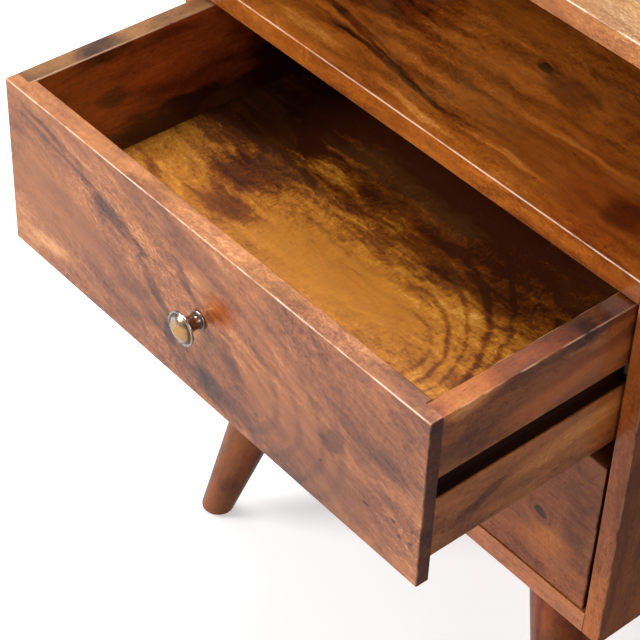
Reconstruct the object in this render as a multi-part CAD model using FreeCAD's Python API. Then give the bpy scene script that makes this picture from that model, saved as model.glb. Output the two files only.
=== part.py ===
import FreeCAD, Part
import os
from math import asin, cos, hypot, sin

from FreeCAD import Vector

# Bedside cabinet: an open slot over two inset drawers, on four splayed turned legs.
# X runs across the width, +Y to the back, +Z up, and the floor is z = 0.
# Every size is in millimetres.  While it is built, y = 0 is the front plane of the case.

# Case
case_width = 450.0
case_depth = 350.0
side_thickness = 15.0
top_thickness = 15.0
shelf_thickness = 17.0
bottom_thickness = 18.0
back_thickness = 6.0
back_rabbet = 8.0
slot_height = 135.0

# Drawers
front_height = 134.0
front_thickness = 15.0
front_rabbet = 5.5
drawer_side_thickness = 15.0
drawer_side_lift = 21.0
drawer_room_behind = 24.0
drawer_back_thickness = 12.0
drawer_back_setback = 10.0
drawer_back_dado = 4.0
floor_lip = 17.5
floor_thickness = 8.0
floor_groove = 5.0
upper_drawer_open = 162.0

# Gaps around the drawer fronts
gap_side = 2.5
gap_above = 1.5
gap_between = 3.0
gap_below = 2.5

# Wooden runners, and the grooves along the middle of the drawer sides that slide on them
groove_height = 18.0
groove_depth = 8.0
runner_clearance_above = 0.3
runner_clearance_below = 0.7
runner_clearance_inside = 0.5
runner_stop_clearance = 0.3
runner_room_behind = 24.0

# Legs
leg_height = 225.0
leg_top_radius = 27.5
leg_foot_radius = 13.0
leg_inset_x = 76.5
leg_inset_y = 49.5
leg_splay_x = 54.0
leg_splay_y = 38.5
leg_foot_rounding = 3.0
glide_radius = 8.5
glide_thickness = 2.0
glide_pin_radius = 1.0
glide_pin_length = 10.0

# Leg fixings: one bolt into a threaded insert, and one dowel that stops the leg turning
bolt_radius = 4.0
bolt_length = 40.0
bolt_head_radius = 8.5
bolt_head_height = 3.0
bolt_socket_flats = 5.0
bolt_socket_depth = 2.0
bolt_hole_radius = 4.5
insert_radius = 6.0
insert_length = 22.0
leg_bore_room = 6.0
washer_radius = 9.5
washer_thickness = 1.5
leg_dowel_offset = 15.0
leg_dowel_length = 28.0
leg_dowel_in_panel = 12.0

# Knobs
knob_head_radius = 12.3
knob_neck_radius = 5.2
knob_base_radius = 7.2
knob_base_height = 2.0
knob_rim_height = 13.2
knob_rim_thickness = 2.0
knob_dish_depth = 0.8
knob_dome_height = 5.0
knob_screw_radius = 2.0
knob_screw_in_knob = 8.0
knob_screw_head_radius = 4.0
knob_screw_head_height = 2.6
knob_washer_radius = 5.0
knob_washer_thickness = 0.8

# Dowels, screws and pins
dowel_radius = 4.0
dowel_length = 30.0
dowel_chamfer = 1.0
dowel_blind = 10.0
dowel_end_room = 1.0
dowel_edge_distance = 45.0
dowels_per_joint = 3
drawer_dowel_radius = 3.0
drawer_dowel_length = 26.0
drawer_dowel_in_front = 6.0
drawer_dowel_top_distance = 14.0
drawer_dowel_groove_distance = 8.0
screw_head_radius = 3.2
screw_head_depth = 1.8
screw_radius = 1.5
screw_tip = 3.0
screw_cross_width = 0.7
screw_cross_depth = 1.2
back_screw_length = 16.0
back_screws_per_side = 4
back_screws_across = 2
back_screw_end_distance = 40.0
runner_screw_length = 20.0
runner_screws_each = 3
runner_screw_end_distance = 35.0
pin_radius = 0.8
pin_length = 28.0
pin_edge_distance = 14.0
floor_pins = 3
floor_pin_length = 20.0
floor_pin_end_distance = 45.0

# Fits and eased arrises
drilled_room = 0.05
panel_room = 0.3
arris = 1.0
front_arris = 1.2
length_tolerance = 1e-4

# Places that follow from the sizes above
inner_half = case_width / 2 - side_thickness
drawer_half = inner_half - gap_side
underside = leg_height
bay_floor = underside + bottom_thickness
lower_front_top = bay_floor + gap_below + front_height
upper_front_top = lower_front_top + gap_between + front_height
shelf_underside = upper_front_top + gap_above
slot_floor = shelf_underside + shelf_thickness
slot_ceiling = slot_floor + slot_height
case_top = slot_ceiling + top_thickness
back_face = case_depth - back_thickness
leg_x = case_width / 2 - leg_inset_x
front_lap = front_thickness - front_rabbet
drawer_length = back_face - drawer_room_behind
drawer_side_height = front_height - drawer_side_lift
floor_depth = drawer_side_height - floor_lip - floor_thickness
groove_from_top = (drawer_side_height - groove_height) / 2
runner_height = groove_height - runner_clearance_above - runner_clearance_below
runner_start = front_lap + runner_stop_clearance
runner_end = back_face - runner_room_behind
right_and_left = (1, -1)


def block(low, high):
    """A rectangular board between two opposite corners."""
    low, high = Vector(*low), Vector(*high)
    size = high - low
    return Part.makeBox(size.x, size.y, size.z, low)


def turned(profile):
    """A solid of revolution about Z from a closed list of (radius, height) corners."""
    points = [Vector(radius, 0, height) for radius, height in profile]
    face = Part.Face(Part.makePolygon(points + points[:1]))
    return face.revolve(Vector(0, 0, 0), Vector(0, 0, 1), 360)


def placed(shape, point, direction=(0, 0, 1)):
    """A copy of shape with its own origin at point and its +Z axis along direction."""
    copy = shape.copy()
    turn = FreeCAD.Rotation(Vector(0, 0, 1), Vector(*direction))
    copy.Placement = FreeCAD.Placement(Vector(*point), turn)
    return copy


def mirrored(shape, side):
    """The shape itself on the right, or its mirror image for the left."""
    return shape if side > 0 else shape.mirror(Vector(0, 0, 0), Vector(1, 0, 0))


def spread(count, low, high):
    """Evenly spaced places from low to high, both included."""
    step = (high - low) / (count - 1)
    return [low + index * step for index in range(count)]


def near(value, target):
    return abs(value - target) < length_tolerance


def eased(shape, radius, chosen):
    """Round the arrises for which chosen(x, y, z, axis) is true at the middle of the edge."""
    edges = []
    for edge in shape.Edges:
        along = edge.tangentAt(edge.FirstParameter)
        axis = max("xyz", key=lambda name: abs(getattr(along, name)))
        middle = edge.CenterOfMass
        if chosen(middle.x, middle.y, middle.z, axis):
            edges.append(edge)
    return shape.makeFillet(radius, edges)


# ---------------------------------------------------------------- fasteners

def dowel(length, radius=dowel_radius):
    """A beech dowel with chamfered ends, from its own origin up along +Z."""
    return turned([
        (0, 0),
        (radius - dowel_chamfer, 0),
        (radius, dowel_chamfer),
        (radius, length - dowel_chamfer),
        (radius - dowel_chamfer, length),
        (0, length),
    ])


def drilling(radius, depth):
    """The space of a drilled hole, with the drill's small extra room."""
    return Part.makeCylinder(radius + drilled_room, depth)


def wood_screw(length, room=0.0):
    """A countersunk wood screw, head at its origin and tip along +Z, or with room its hole."""
    body = turned([
        (0, 0),
        (screw_head_radius + room, 0),
        (screw_radius + room, screw_head_depth),
        (screw_radius + room, length - screw_tip),
        (0, length + room),
    ])
    if room:
        return body
    arm = screw_head_radius - screw_cross_width
    half = screw_cross_width / 2
    body = body.cut(block((-arm, -half, 0), (arm, half, screw_cross_depth)))
    return body.cut(block((-half, -arm, 0), (half, arm, screw_cross_depth)))


def pin(length):
    return Part.makeCylinder(pin_radius, length)


def washer(outer_radius, hole_radius, thickness):
    return Part.makeCylinder(outer_radius, thickness).cut(Part.makeCylinder(hole_radius, thickness))


# ---------------------------------------------------------------- where the fasteners go

def dowel_joints():
    """Base point and direction of each case dowel: it stands dowel_blind deep in the first board."""
    places = []
    rows = spread(dowels_per_joint, dowel_edge_distance, back_face - dowel_edge_distance)
    blind = dowel_blind - dowel_end_room / 2
    for side in right_and_left:
        for y in rows:
            middle_of_side = side * (case_width / 2 - side_thickness / 2)
            places.append(((middle_of_side, y, slot_ceiling + blind), (0, 0, -1)))
            for z in (slot_floor - shelf_thickness / 2, underside + bottom_thickness / 2):
                places.append(((side * (inner_half + blind), y, z), (-side, 0, 0)))
    return places


def back_screw_places():
    """Each back panel screw enters the outer face of the panel and points forward."""
    places = []
    heights = spread(
        back_screws_per_side,
        underside + back_screw_end_distance,
        case_top - back_screw_end_distance,
    )
    for side in right_and_left:
        for z in heights:
            places.append((side * (inner_half + back_rabbet / 2), case_depth, z))
    middles = (
        underside + bottom_thickness / 2,
        slot_floor - shelf_thickness / 2,
        slot_ceiling + back_rabbet / 2,
    )
    for x in spread(back_screws_across, -inner_half / 2, inner_half / 2):
        for z in middles:
            places.append((x, case_depth, z))
    return places


def runner_heights():
    """The middle height of the upper and of the lower pair of runners."""
    down = groove_from_top + runner_clearance_above + runner_height / 2
    return {"upper": upper_front_top - down, "lower": lower_front_top - down}


def runner_face():
    """Distance of a runner's inner face from the middle of the case."""
    return drawer_half - groove_depth + runner_clearance_inside


def runner_screw_places(side, height):
    ends = (runner_start + runner_screw_end_distance, runner_end - runner_screw_end_distance)
    return [(side * runner_face(), y, height) for y in spread(runner_screws_each, *ends)]


def leg_corners():
    """Name, side and end of each leg: side +1 is right, and end +1 is rear."""
    return [
        ("front_left", -1, -1),
        ("front_right", 1, -1),
        ("rear_left", -1, 1),
        ("rear_right", 1, 1),
    ]


def leg_top(side, end):
    y = leg_inset_y if end < 0 else case_depth - leg_inset_y
    return Vector(side * leg_x, y, underside)


def leg_foot(side, end):
    return leg_top(side, end) + Vector(side * leg_splay_x, end * leg_splay_y, -leg_height)


def leg_glide_point(side, end):
    """The middle of the sawn foot, where the glide is nailed on."""
    top, foot = leg_top(side, end), leg_foot(side, end)
    return foot + (top - foot) * (glide_thickness / leg_height)


def leg_dowel_base(side, end):
    """Lower end of the dowel beside each leg bolt, on the side towards the middle of the case."""
    down = leg_dowel_length - leg_dowel_in_panel
    return leg_top(side, end) + Vector(-side * leg_dowel_offset, 0, -down)


# ---------------------------------------------------------------- case

def with_dowel_holes(board, places, length, radius=dowel_radius):
    """Drill for each dowel, with half of the end room past both of its ends."""
    for point, direction in places:
        base = Vector(*point) - Vector(*direction) * (dowel_end_room / 2)
        hole = drilling(radius, length + dowel_end_room)
        board = board.cut(placed(hole, base, direction))
    return board


def with_back_screw_holes(panel):
    for point in back_screw_places():
        panel = panel.cut(placed(wood_screw(back_screw_length, drilled_room), point, (0, -1, 0)))
    return panel


def top_panel():
    half = case_width / 2
    board = block((-half, 0, slot_ceiling), (half, case_depth, case_top))
    board = eased(board, arris, lambda x, y, z, axis: near(z, case_top) or (near(y, 0) and axis != "y"))
    rabbet_half = inner_half + back_rabbet
    board = board.cut(block(
        (-rabbet_half, back_face, slot_ceiling),
        (rabbet_half, case_depth, slot_ceiling + back_rabbet),
    ))
    return with_back_screw_holes(with_dowel_holes(board, dowel_joints(), dowel_length))


def side_panel(side):
    outer = case_width / 2
    board = block((inner_half, 0, underside), (outer, case_depth, slot_ceiling))
    board = eased(board, arris, lambda x, y, z, axis: (axis == "z" and (near(y, 0) or near(x, outer)))
                  or near(z, underside))
    board = board.cut(block(
        (inner_half, back_face, underside),
        (inner_half + back_rabbet, case_depth, slot_ceiling),
    ))
    board = with_dowel_holes(mirrored(board, side), dowel_joints(), dowel_length)
    board = with_back_screw_holes(board)
    for height in runner_heights().values():
        for point in runner_screw_places(side, height):
            hole = wood_screw(runner_screw_length, drilled_room)
            board = board.cut(placed(hole, point, (side, 0, 0)))
    return board


def level_panel(low, high):
    """A board housed between the two sides: the shelf under the slot, or the bottom."""
    board = block((-inner_half, 0, low), (inner_half, back_face, high))
    board = eased(board, arris, lambda x, y, z, axis: axis == "x" and near(y, 0))
    return with_back_screw_holes(with_dowel_holes(board, dowel_joints(), dowel_length))


def bottom_panel():
    board = level_panel(underside, bay_floor)
    for _, side, end in leg_corners():
        bolt_hole = Part.makeCylinder(bolt_hole_radius, bottom_thickness)
        board = board.cut(placed(bolt_hole, leg_top(side, end)))
        dowel_hole = drilling(dowel_radius, leg_dowel_length + dowel_end_room)
        board = board.cut(placed(dowel_hole, leg_dowel_base(side, end)))
    return board


def back_panel():
    half = inner_half + back_rabbet - panel_room
    top = slot_ceiling + back_rabbet - panel_room
    board = block((-half, back_face, underside), (half, case_depth, top))
    return with_back_screw_holes(board)


def runner(side, height):
    """A hardwood strip on the inside of the case: its front end is the drawer's closing stop."""
    half = runner_height / 2
    strip = block((runner_face(), runner_start, height - half), (inner_half, runner_end, height + half))
    strip = mirrored(strip, side)
    for point in runner_screw_places(side, height):
        hole = wood_screw(runner_screw_length, drilled_room)
        strip = strip.cut(placed(hole, point, (side, 0, 0)))
    return strip


# ---------------------------------------------------------------- legs

def leg(side, end):
    """A tapered leg, splayed both ways, sawn level at the top and at the foot."""
    top, foot = leg_top(side, end), leg_foot(side, end)
    axis = top - foot
    overrun = leg_top_radius / axis.Length
    start = foot - axis * overrun
    taper = leg_top_radius - leg_foot_radius
    small = leg_foot_radius - taper * overrun
    large = leg_top_radius + taper * overrun
    spindle = Part.makeCone(small, large, axis.Length * (1 + 2 * overrun), start, axis)
    reach = 2 * leg_top_radius + hypot(leg_splay_x, leg_splay_y)
    level = block(
        (top.x - reach, top.y - reach, glide_thickness),
        (top.x + reach, top.y + reach, underside),
    )
    spindle = spindle.common(level)
    rim = [edge for edge in spindle.Edges if near(edge.CenterOfMass.z, glide_thickness)]
    spindle = spindle.makeFillet(leg_foot_rounding, rim)
    bolt_reach = bolt_length - washer_thickness - bottom_thickness
    bore = drilling(insert_radius, max(insert_length, bolt_reach) + leg_bore_room)
    spindle = spindle.cut(placed(bore, top, (0, 0, -1)))
    dowel_hole = drilling(dowel_radius, leg_dowel_length)
    spindle = spindle.cut(placed(dowel_hole, leg_dowel_base(side, end)))
    pin_hole = drilling(glide_pin_radius, glide_pin_length)
    return spindle.cut(placed(pin_hole, leg_glide_point(side, end)))


def glide():
    """A nylon glide with its pin, from the floor up."""
    return turned([
        (0, 0),
        (glide_radius - arris, 0),
        (glide_radius, arris),
        (glide_radius, glide_thickness),
        (glide_pin_radius, glide_thickness),
        (glide_pin_radius, glide_thickness + glide_pin_length - arris),
        (0, glide_thickness + glide_pin_length),
    ])


def leg_bolt():
    """A low-headed furniture bolt: underside of the head at its origin, shank along -Z."""
    head = turned([
        (0, 0),
        (bolt_head_radius, 0),
        (bolt_head_radius, bolt_head_height / 2),
        (bolt_head_radius - bolt_head_height / 2, bolt_head_height),
        (0, bolt_head_height),
    ])
    shank = placed(Part.makeCylinder(bolt_radius, bolt_length), (0, 0, 0), (0, 0, -1))
    corner = bolt_socket_flats / 3 ** 0.5
    hexagon = Part.makePolygon([
        FreeCAD.Rotation(Vector(0, 0, 1), 60 * index).multVec(Vector(corner, 0, 0))
        for index in range(7)
    ])
    socket = Part.Face(hexagon).extrude(Vector(0, 0, bolt_socket_depth))
    socket.translate(Vector(0, 0, bolt_head_height - bolt_socket_depth))
    return head.fuse(shank).removeSplitter().cut(socket)


def leg_insert():
    """A threaded brass insert, its mouth at its origin and its body along -Z."""
    tube = washer(insert_radius, bolt_radius + drilled_room, insert_length)
    return placed(tube, (0, 0, -insert_length))


def leg_fixings():
    """The groups of like fixings under the case, one solid of each kind per leg."""
    groups = {"leg_bolts": [], "leg_washers": [], "leg_inserts": [], "leg_dowels": [], "foot_glides": []}
    for _, side, end in leg_corners():
        top = leg_top(side, end)
        on_panel = top + Vector(0, 0, bottom_thickness)
        under_head = on_panel + Vector(0, 0, washer_thickness)
        ring = washer(washer_radius, bolt_hole_radius, washer_thickness)
        groups["leg_bolts"].append(placed(leg_bolt(), under_head))
        groups["leg_washers"].append(placed(ring, on_panel))
        insert = leg_insert()
        insert.translate(top)
        groups["leg_inserts"].append(insert)
        groups["leg_dowels"].append(placed(dowel(leg_dowel_length), leg_dowel_base(side, end)))
        point = leg_glide_point(side, end)
        groups["foot_glides"].append(placed(glide(), (point.x, point.y, 0)))
    return groups


# ---------------------------------------------------------------- one drawer
# A drawer is built closed, with its front face on y = 0 and its top edge on z = 0.

def below_groove():
    """Height midway between the runner groove and the drawer bottom."""
    return -(groove_from_top + groove_height + floor_depth) / 2


def side_middle():
    return drawer_half - drawer_side_thickness / 2


def drawer_back_front_face():
    return drawer_length - drawer_back_setback - drawer_back_thickness


def front_dowel_places():
    """Blind dowels from the front into the end of each side, clear of both grooves."""
    heights = (
        -drawer_dowel_top_distance,
        drawer_dowel_groove_distance - groove_from_top,
        below_groove(),
        floor_lip / 2 - drawer_side_height,
    )
    y = front_lap - drawer_dowel_in_front
    return [((side * side_middle(), y, z), (0, 1, 0)) for side in right_and_left for z in heights]


def back_pin_places():
    """Pins through each side into the end of the drawer back, above and below the groove."""
    y = drawer_back_front_face() + drawer_back_thickness / 2
    heights = (-pin_edge_distance, pin_edge_distance - groove_from_top, below_groove())
    return [((side * drawer_half, y, z), (-side, 0, 0)) for side in right_and_left for z in heights]


def floor_pin_places():
    """Pins up through the drawer bottom into the lower edge of the drawer back."""
    y = drawer_back_front_face() + drawer_back_thickness / 2
    reach = drawer_half - drawer_side_thickness - floor_pin_end_distance
    z = -floor_depth - floor_thickness
    return [((x, y, z), (0, 0, 1)) for x in spread(floor_pins, -reach, reach)]


def with_pin_holes(board, places, length):
    for point, direction in places:
        board = board.cut(placed(drilling(pin_radius, length), point, direction))
    return board


def pin_group(places, length):
    return Part.makeCompound([placed(pin(length), point, direction) for point, direction in places])


def knob_point():
    return (0, 0, -front_height / 2)


def drawer_front():
    """The front board: lapped over the ends of the sides, and grooved for the bottom."""
    board = block((-drawer_half, 0, -front_height), (drawer_half, front_thickness, 0))
    for side in right_and_left:
        board = board.cut(mirrored(block(
            (drawer_half - drawer_side_thickness, front_lap, -front_height),
            (drawer_half, front_thickness, 0),
        ), side))
    board = eased(board, front_arris, lambda x, y, z, axis: near(y, 0)
                  or (near(abs(x), drawer_half) and axis == "y")
                  or (near(y, front_thickness) and axis == "x"))
    inner = drawer_half - drawer_side_thickness
    board = board.cut(block(
        (-inner, front_thickness - floor_groove, -floor_depth - floor_thickness),
        (inner, front_thickness, -floor_depth),
    ))
    hole = drilling(knob_screw_radius, front_thickness)
    board = board.cut(placed(hole, knob_point(), (0, 1, 0)))
    return with_dowel_holes(board, front_dowel_places(), drawer_dowel_length, drawer_dowel_radius)


def drawer_side(side):
    """A drawer side: runner groove outside, bottom groove and back dado inside."""
    inner = drawer_half - drawer_side_thickness
    board = block((inner, front_lap, -drawer_side_height), (drawer_half, drawer_length, 0))
    board = eased(board, front_arris, lambda x, y, z, axis: axis == "y")
    board = eased(board, arris, lambda x, y, z, axis: axis == "z" and near(y, drawer_length))
    board = board.cut(block(
        (drawer_half - groove_depth, front_lap, -groove_from_top - groove_height),
        (drawer_half, drawer_length, -groove_from_top),
    ))
    board = board.cut(block(
        (inner, front_lap, -floor_depth - floor_thickness),
        (inner + floor_groove, drawer_length, -floor_depth),
    ))
    back = drawer_back_front_face()
    board = board.cut(block(
        (inner, back, -floor_depth),
        (inner + drawer_back_dado, back + drawer_back_thickness, 0),
    ))
    board = with_pin_holes(mirrored(board, side), back_pin_places(), pin_length)
    return with_dowel_holes(board, front_dowel_places(), drawer_dowel_length, drawer_dowel_radius)


def drawer_back():
    half = drawer_half - drawer_side_thickness + drawer_back_dado
    front = drawer_back_front_face()
    board = block((-half, front, -floor_depth), (half, front + drawer_back_thickness, 0))
    board = eased(board, arris, lambda x, y, z, axis: axis == "x" and near(z, 0))
    board = with_pin_holes(board, back_pin_places(), pin_length)
    return with_pin_holes(board, floor_pin_places(), floor_pin_length)


def drawer_bottom():
    half = drawer_half - drawer_side_thickness + floor_groove - panel_room
    board = block(
        (-half, front_thickness - floor_groove + panel_room, -floor_depth - floor_thickness),
        (half, drawer_length - drawer_back_setback, -floor_depth),
    )
    return with_pin_holes(board, floor_pin_places(), floor_pin_length)


def knob():
    """A cast mushroom knob: a ringed base, a waisted neck, and a dome dished inside a rolled rim."""
    rim_top = knob_rim_height + knob_rim_thickness
    base = [
        Vector(knob_base_radius - knob_base_height / 2, 0, 0),
        Vector(knob_base_radius, 0, knob_base_height / 2),
        Vector(knob_base_radius - knob_base_height / 2, 0, knob_base_height),
    ]
    neck = [base[-1], Vector(knob_neck_radius, 0, knob_rim_height / 2)]
    under = Vector(knob_head_radius - knob_rim_thickness / 2, 0, knob_rim_height)
    rim_middle = Vector(knob_head_radius, 0, knob_rim_height + knob_rim_thickness / 2)
    rim_inner = Vector(knob_head_radius - knob_rim_thickness / 2, 0, rim_top)
    dome_edge = Vector(knob_head_radius - knob_rim_thickness, 0, rim_top - knob_dish_depth)
    crown = Vector(0, 0, dome_edge.z + knob_dome_height)
    sphere_radius = (dome_edge.x ** 2 + knob_dome_height ** 2) / (2 * knob_dome_height)
    half_angle = asin(dome_edge.x / sphere_radius) / 2
    dome_side = crown + Vector(sin(half_angle), 0, cos(half_angle) - 1) * sphere_radius
    flare = Vector((knob_neck_radius + knob_head_radius) / 2, 0, knob_rim_height - knob_rim_thickness / 2)
    centre = Vector(0, 0, 0)
    neck_curve = Part.BSplineCurve()
    neck_curve.interpolate(neck + [flare, under])
    edges = [
        Part.makeLine(centre, base[0]),
        Part.Arc(*base).toShape(),
        neck_curve.toShape(),
        Part.Arc(under, rim_middle, rim_inner).toShape(),
        Part.makeLine(rim_inner, dome_edge),
        Part.Arc(dome_edge, dome_side, crown).toShape(),
        Part.makeLine(crown, centre),
    ]
    body = Part.Face(Part.Wire(edges)).revolve(centre, Vector(0, 0, 1), 360)
    body = body.cut(drilling(knob_screw_radius, knob_screw_in_knob + dowel_end_room))
    return placed(body, knob_point(), (0, -1, 0))


def knob_screw():
    """A pan-headed machine screw from inside the drawer, through the front into the knob."""
    head = turned([
        (0, 0),
        (knob_screw_head_radius, 0),
        (knob_screw_head_radius, knob_screw_head_height / 2),
        (knob_screw_head_radius / 2, knob_screw_head_height),
        (0, knob_screw_head_height),
    ])
    length = knob_washer_thickness + front_thickness + knob_screw_in_knob
    shank = placed(Part.makeCylinder(knob_screw_radius, length), (0, 0, 0), (0, 0, -1))
    slot_half = screw_cross_width / 2
    slot = block(
        (-knob_screw_head_radius, -slot_half, knob_screw_head_height - screw_cross_depth),
        (knob_screw_head_radius, slot_half, knob_screw_head_height),
    )
    screw = head.fuse(shank).removeSplitter().cut(slot)
    point = Vector(*knob_point()) + Vector(0, front_thickness + knob_washer_thickness, 0)
    return placed(screw, point, (0, 1, 0))


def knob_washer():
    ring = washer(knob_washer_radius, knob_screw_radius + drilled_room, knob_washer_thickness)
    point = Vector(*knob_point()) + Vector(0, front_thickness, 0)
    return placed(ring, point, (0, 1, 0))


def drawer(name, front_top, pulled_out):
    """All pieces of one drawer, moved to its bay and pulled out by the given distance."""
    pieces = {
        "front": drawer_front(),
        "right_side": drawer_side(1),
        "left_side": drawer_side(-1),
        "back": drawer_back(),
        "bottom": drawer_bottom(),
        "knob": knob(),
        "knob_screw": knob_screw(),
        "knob_washer": knob_washer(),
        "front_dowels": Part.makeCompound([
            placed(dowel(drawer_dowel_length, drawer_dowel_radius), *place)
            for place in front_dowel_places()
        ]),
        "back_pins": pin_group(back_pin_places(), pin_length),
        "bottom_pins": pin_group(floor_pin_places(), floor_pin_length),
    }
    moved = {}
    for piece, shape in pieces.items():
        shape.translate(Vector(0, -pulled_out, front_top))
        moved[name + "_drawer_" + piece] = shape
    return moved


# ---------------------------------------------------------------- the whole cabinet

def cabinet():
    nodes = {
        "top_panel": top_panel(),
        "right_side_panel": side_panel(1),
        "left_side_panel": side_panel(-1),
        "slot_shelf": level_panel(shelf_underside, slot_floor),
        "bottom_panel": bottom_panel(),
        "back_panel": back_panel(),
        "case_dowels": Part.makeCompound(
            [placed(dowel(dowel_length), *place) for place in dowel_joints()]),
        "back_panel_screws": Part.makeCompound(
            [placed(wood_screw(back_screw_length), point, (0, -1, 0)) for point in back_screw_places()]),
    }
    runner_screws = []
    for level, height in runner_heights().items():
        for side, side_name in ((1, "right"), (-1, "left")):
            nodes[level + "_" + side_name + "_runner"] = runner(side, height)
            for point in runner_screw_places(side, height):
                runner_screws.append(placed(wood_screw(runner_screw_length), point, (side, 0, 0)))
    nodes["runner_screws"] = Part.makeCompound(runner_screws)
    for name, side, end in leg_corners():
        nodes[name + "_leg"] = leg(side, end)
    for name, solids in leg_fixings().items():
        nodes[name] = Part.makeCompound(solids)
    nodes.update(drawer("upper", upper_front_top, upper_drawer_open))
    nodes.update(drawer("lower", lower_front_top, 0.0))
    return nodes


def export(nodes):
    """Write every node, with the origin on the floor under the middle of the whole box."""
    box = Part.makeCompound(list(nodes.values())).optimalBoundingBox(False)
    middle = Vector(box.Center.x, box.Center.y, 0)
    os.makedirs("parts", exist_ok=True)
    for name, shape in nodes.items():
        shape.translate(-middle)
        shape.exportStep("parts/" + name + ".step")
    print(len(nodes), "nodes; box", round(box.XLength, 2), round(box.YLength, 2), round(box.ZLength, 2))
    print("front plane of the case at y =", round(-middle.y, 3))


export(cabinet())
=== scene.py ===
from math import cos, pi, radians, sin

import bmesh
import bpy
from mathutils import Matrix, Vector


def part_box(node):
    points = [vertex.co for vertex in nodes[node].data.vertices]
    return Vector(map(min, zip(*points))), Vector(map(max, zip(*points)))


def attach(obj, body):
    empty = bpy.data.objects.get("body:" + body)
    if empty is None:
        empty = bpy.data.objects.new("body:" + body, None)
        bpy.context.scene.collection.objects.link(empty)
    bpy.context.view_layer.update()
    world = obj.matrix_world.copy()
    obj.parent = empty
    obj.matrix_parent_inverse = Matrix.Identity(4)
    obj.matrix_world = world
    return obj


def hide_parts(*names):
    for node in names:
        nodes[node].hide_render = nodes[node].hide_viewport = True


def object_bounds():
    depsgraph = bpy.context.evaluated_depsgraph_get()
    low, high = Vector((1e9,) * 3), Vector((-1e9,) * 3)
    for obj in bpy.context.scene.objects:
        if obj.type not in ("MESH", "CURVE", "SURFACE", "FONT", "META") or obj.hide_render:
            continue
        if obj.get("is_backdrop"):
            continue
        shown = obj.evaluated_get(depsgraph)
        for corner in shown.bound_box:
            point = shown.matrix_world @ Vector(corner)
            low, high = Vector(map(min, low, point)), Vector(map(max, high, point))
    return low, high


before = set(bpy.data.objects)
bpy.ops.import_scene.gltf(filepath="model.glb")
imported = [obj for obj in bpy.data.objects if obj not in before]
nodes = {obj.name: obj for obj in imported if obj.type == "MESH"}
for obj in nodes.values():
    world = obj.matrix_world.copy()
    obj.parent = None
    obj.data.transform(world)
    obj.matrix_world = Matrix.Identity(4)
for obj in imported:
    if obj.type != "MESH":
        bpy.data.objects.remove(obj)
cad_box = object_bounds()


# ------------------------------------------------------------------ top panel
# The top is one wide hardwood board laid over the sides and doweled down to them.  It is
# stained a warm golden brown and lacquered, and its arrises are rubbed back to paler wood, a
# paleness that also paints a highlight.  Its top face has a painted bluish sheen, and its front
# arris a thin line of painted highlight.

class Signal:
    """A shader socket.  Arithmetic adds Math nodes, and node() adds any other node."""

    def __init__(self, tree, socket=None):
        self.tree = tree
        self.socket = socket

    def node(self, kind, settings=None, inputs=None, output=0):
        made = self.tree.nodes.new("ShaderNode" + kind)
        for name, value in (settings or {}).items():
            if name == "stops":
                self.set_stops(made.color_ramp, value)
            else:
                setattr(made, name, value)
        for name, value in (inputs or {}).items():
            if isinstance(value, Signal):
                self.tree.links.new(value.socket, made.inputs[name])
            else:
                made.inputs[name].default_value = value
        return Signal(self.tree, made.outputs[output] if made.outputs else None)

    @staticmethod
    def set_stops(ramp, stops):
        while len(ramp.elements) < len(stops):
            ramp.elements.new(1.0)
        for element, (place, colour) in zip(ramp.elements, stops):
            element.position = place
            element.color = colour

    def math(self, operation, *others):
        return self.node("Math", {"operation": operation}, dict(enumerate((self,) + others)))

    def __add__(self, other):
        return self.math("ADD", other)

    def __sub__(self, other):
        return self.math("SUBTRACT", other)

    def __rsub__(self, other):
        return self.node("Math", {"operation": "SUBTRACT"}, {0: other, 1: self})

    def __mul__(self, other):
        return self.math("MULTIPLY", other)

    def __pow__(self, other):
        return self.math("POWER", other)

    __radd__ = __add__
    __rmul__ = __mul__

    def rise(self, low, high):
        """A smooth step from 0 at low to 1 at high; high may be the smaller."""
        limits = {"Value": self, "From Min": low, "From Max": high}
        return self.node("MapRange", {"interpolation_type": "SMOOTHSTEP"}, limits)

    def vector(self, operation, other, output=0):
        return self.node("VectorMath", {"operation": operation}, {0: self, 1: other}, output)

    def length(self):
        return self.node("VectorMath", {"operation": "LENGTH"}, {0: self}, output=1)

    def mixed(self, factor, other, blend="MIX"):
        """This colour with the other laid over it by factor."""
        settings = {"data_type": "RGBA", "blend_type": blend}
        return self.node("Mix", settings, {"Factor": factor, 6: self, 7: other}, output=2)

    def noise(self, cells, detail=3.0, roughness=0.5, distortion=0.0, output=0):
        """Noise over this vector, with so many cells a metre along each of its axes."""
        values = {"Scale": 1.0, "Detail": detail, "Roughness": roughness, "Distortion": distortion}
        values["Vector"] = self.vector("MULTIPLY", cells)
        return self.node("TexNoise", {}, values, output)

    def seen_from(self, point, turn=(0, 0, 0), size=(1, 1, 1)):
        """This vector in a frame of its own, at point, turned, and with the given units."""
        values = {"Vector": self, "Location": point, "Rotation": turn, "Scale": size}
        return self.node("Mapping", {"vector_type": "TEXTURE"}, values)


def colour(red, green, blue):
    """A linear colour from a paint chart's 0 to 255 values."""
    return tuple(((c / 255 + 0.055) / 1.055) ** 2.4 for c in (red, green, blue)) + (1.0,)


def new_material(name):
    """An empty material, and its Object coordinates as the first signal."""
    material = bpy.data.materials.new(name)
    material.use_nodes = True
    material.node_tree.nodes.clear()
    return material, Signal(material.node_tree).node("TexCoord", output=3)


def surface(place, **inputs):
    """Join a Principled shader to the output; an input's name has _ for each space."""
    values = {name.replace("_", " "): value for name, value in inputs.items()}
    shader = place.node("BsdfPrincipled", {}, values)
    place.node("OutputMaterial", {}, {"Surface": shader})


def dress(node, material):
    for held in nodes[node].material_slots:
        held.material = material


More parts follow.
